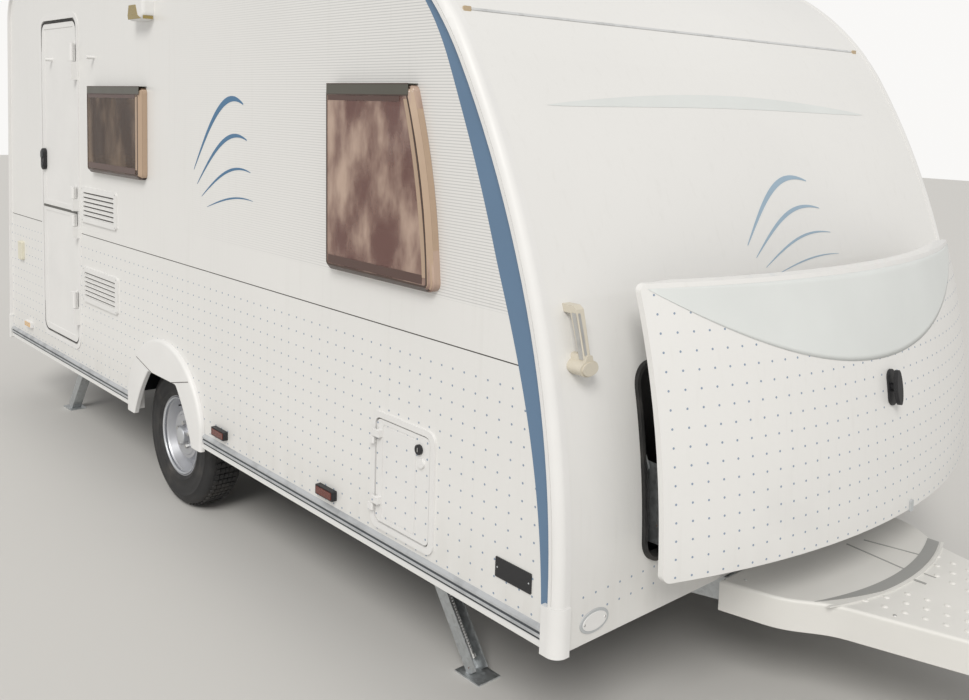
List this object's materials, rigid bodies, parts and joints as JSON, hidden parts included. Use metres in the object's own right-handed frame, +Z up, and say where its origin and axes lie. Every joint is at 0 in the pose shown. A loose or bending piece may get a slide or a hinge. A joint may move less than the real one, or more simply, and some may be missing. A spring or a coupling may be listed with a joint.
{
  "type": "travel caravan",
  "caption": "Towed leisure caravan with a curved front, a gas locker lid on parallel arms, a stable door, tinted windows, road wheels, corner steadies and a jockey wheel.",
  "frame": {"origin": "on the ground under the middle of the bounding box", "axes": "+X forwards to the drawbar, +Y to the left side, +Z up; the door is on the right side at -Y"},
  "size_m": [6.0343, 2.568, 2.638],
  "materials": {
    "body_white": "satin",
    "trim_white": "satin",
    "cover_white": "matt",
    "handle_beige": "matt",
    "aluminium": "brushed",
    "rail_grey": "satin",
    "window_brown": "tinted gloss",
    "lamp_amber": "gloss",
    "seal_black": "matt",
    "floor_wood": "matt",
    "galvanised": "spangled",
    "cast_grey": "painted",
    "rubber_black": "matt",
    "rim_silver": "satin",
    "furniture_wood": "satin",
    "cushion_cloth": "woven"
  },
  "bodies": {
    "body": {"side_wall_right": "body_white", "side_wall_left": "body_white", "front_wall": "body_white", "rear_wall": "body_white", "roof_panel": "body_white", "edge_trims": "trim_white", "corner_caps": "trim_white", "wheel_arches": "trim_white", "roof_hatches": "trim_white", "fridge_vents": "trim_white", "wall_frames": "trim_white", "side_fittings": "trim_white", "gas_locker": "trim_white", "drawbar_cover": "cover_white", "grab_handles": "handle_beige", "skirt_rails": "aluminium", "window_rails": "rail_grey", "window_panes": "window_brown", "lamps": "lamp_amber", "locker_seal": "seal_black", "gaiter": "seal_black", "wheel_boxes": "seal_black", "floor_panel": "floor_wood", "chassis_frame": "galvanised", "axle": "galvanised", "steady_brackets": "galvanised", "overrun_device": "cast_grey", "coupling_head": "cast_grey", "furniture": "furniture_wood", "cushions": "cushion_cloth"},
    "door_lower": {"door_lower": "body_white"},
    "door_upper": {"door_upper": "body_white"},
    "service_flap": {"service_flap": "body_white"},
    "locker_lid": {"locker_lid": "body_white", "lid_latch": "seal_black", "lid_brackets": "galvanised"},
    "lid_arms_upper": {"lid_arms_upper": "galvanised"},
    "lid_arms_lower": {"lid_arms_lower": "galvanised"},
    "wheel_right": {"tyre_right": "rubber_black", "rim_right": "rim_silver"},
    "wheel_left": {"tyre_left": "rubber_black", "rim_left": "rim_silver"},
    "jockey_tube": {"jockey_tube": "galvanised"},
    "jockey_fork": {"jockey_fork": "galvanised"},
    "jockey_wheel": {"jockey_wheel": "rubber_black"},
    "steady_front_right": {"steady_front_right": "galvanised"},
    "steady_front_left": {"steady_front_left": "galvanised"},
    "steady_rear_right": {"steady_rear_right": "galvanised"},
    "steady_rear_left": {"steady_rear_left": "galvanised"}
  },
  "joints": [
    {"name": "door_lower_hinge", "type": "hinge", "parent": "body", "child": "door_lower", "pos_m": [-1.8235, -1.262, 0.9], "axis": [0, 0, 1], "range_deg": [0, 170]},
    {"name": "door_upper_hinge", "type": "hinge", "parent": "body", "child": "door_upper", "pos_m": [-1.8235, -1.262, 1.8], "axis": [0, 0, 1], "range_deg": [0, 170]},
    {"name": "service_flap_hinge", "type": "hinge", "parent": "body", "child": "service_flap", "pos_m": [0.8575, -1.253, 0.668], "axis": [0, 0, -1], "range_deg": [0, 120]},
    {"name": "lid_arms_swing", "type": "hinge", "parent": "body", "child": "lid_arms_upper", "pos_m": [1.54352, 0, 1.07], "axis": [0, -1, 0], "range_deg": [-25, 74]},
    {"name": "lid_lower_arms_swing", "type": "hinge", "parent": "body", "child": "lid_arms_lower", "pos_m": [1.48352, 0, 0.85], "axis": [0, -1, 0], "range_deg": [-25, 74]},
    {"name": "lid_hang", "type": "hinge", "parent": "lid_arms_upper", "child": "locker_lid", "pos_m": [1.65763, 0, 0.8253], "axis": [0, -1, 0], "range_deg": [-74, 25]},
    {"name": "jockey_slide", "type": "slide", "parent": "body", "child": "jockey_tube", "axis": [0, 0, 1], "range_m": [0, 0.095]},
    {"name": "jockey_swivel", "type": "hinge", "parent": "jockey_tube", "child": "jockey_fork", "pos_m": [2.665, -0.2, 0.3], "axis": [0, 0, 1], "continuous": true},
    {"name": "jockey_wheel_spin", "type": "hinge", "parent": "jockey_fork", "child": "jockey_wheel", "pos_m": [2.62, -0.2, 0.1], "axis": [0, 1, 0], "continuous": true},
    {"name": "wheel_right_spin", "type": "hinge", "parent": "body", "child": "wheel_right", "pos_m": [-0.765, -1.0875, 0.325], "axis": [0, 1, 0], "continuous": true},
    {"name": "steady_front_right_fold", "type": "hinge", "parent": "body", "child": "steady_front_right", "pos_m": [0.8731, -1.02, 0.379], "axis": [0, -1, 0], "range_deg": [0, 52]},
    {"name": "steady_rear_right_fold", "type": "hinge", "parent": "body", "child": "steady_rear_right", "pos_m": [-2.2289, -1.02, 0.379], "axis": [0, 1, 0], "range_deg": [0, 52]},
    {"name": "wheel_left_spin", "type": "hinge", "parent": "body", "child": "wheel_left", "pos_m": [-0.765, 1.0875, 0.325], "axis": [0, 1, 0], "continuous": true},
    {"name": "steady_front_left_fold", "type": "hinge", "parent": "body", "child": "steady_front_left", "pos_m": [0.8731, 1.02, 0.379], "axis": [0, -1, 0], "range_deg": [0, 52]},
    {"name": "steady_rear_left_fold", "type": "hinge", "parent": "body", "child": "steady_rear_left", "pos_m": [-2.2289, 1.02, 0.379], "axis": [0, 1, 0], "range_deg": [0, 52]}
  ],
  "couplings": [
    {"joint": "lid_lower_arms_swing", "follows": "lid_arms_swing", "ratio": 1},
    {"joint": "lid_hang", "follows": "lid_arms_swing", "ratio": -1}
  ]
}
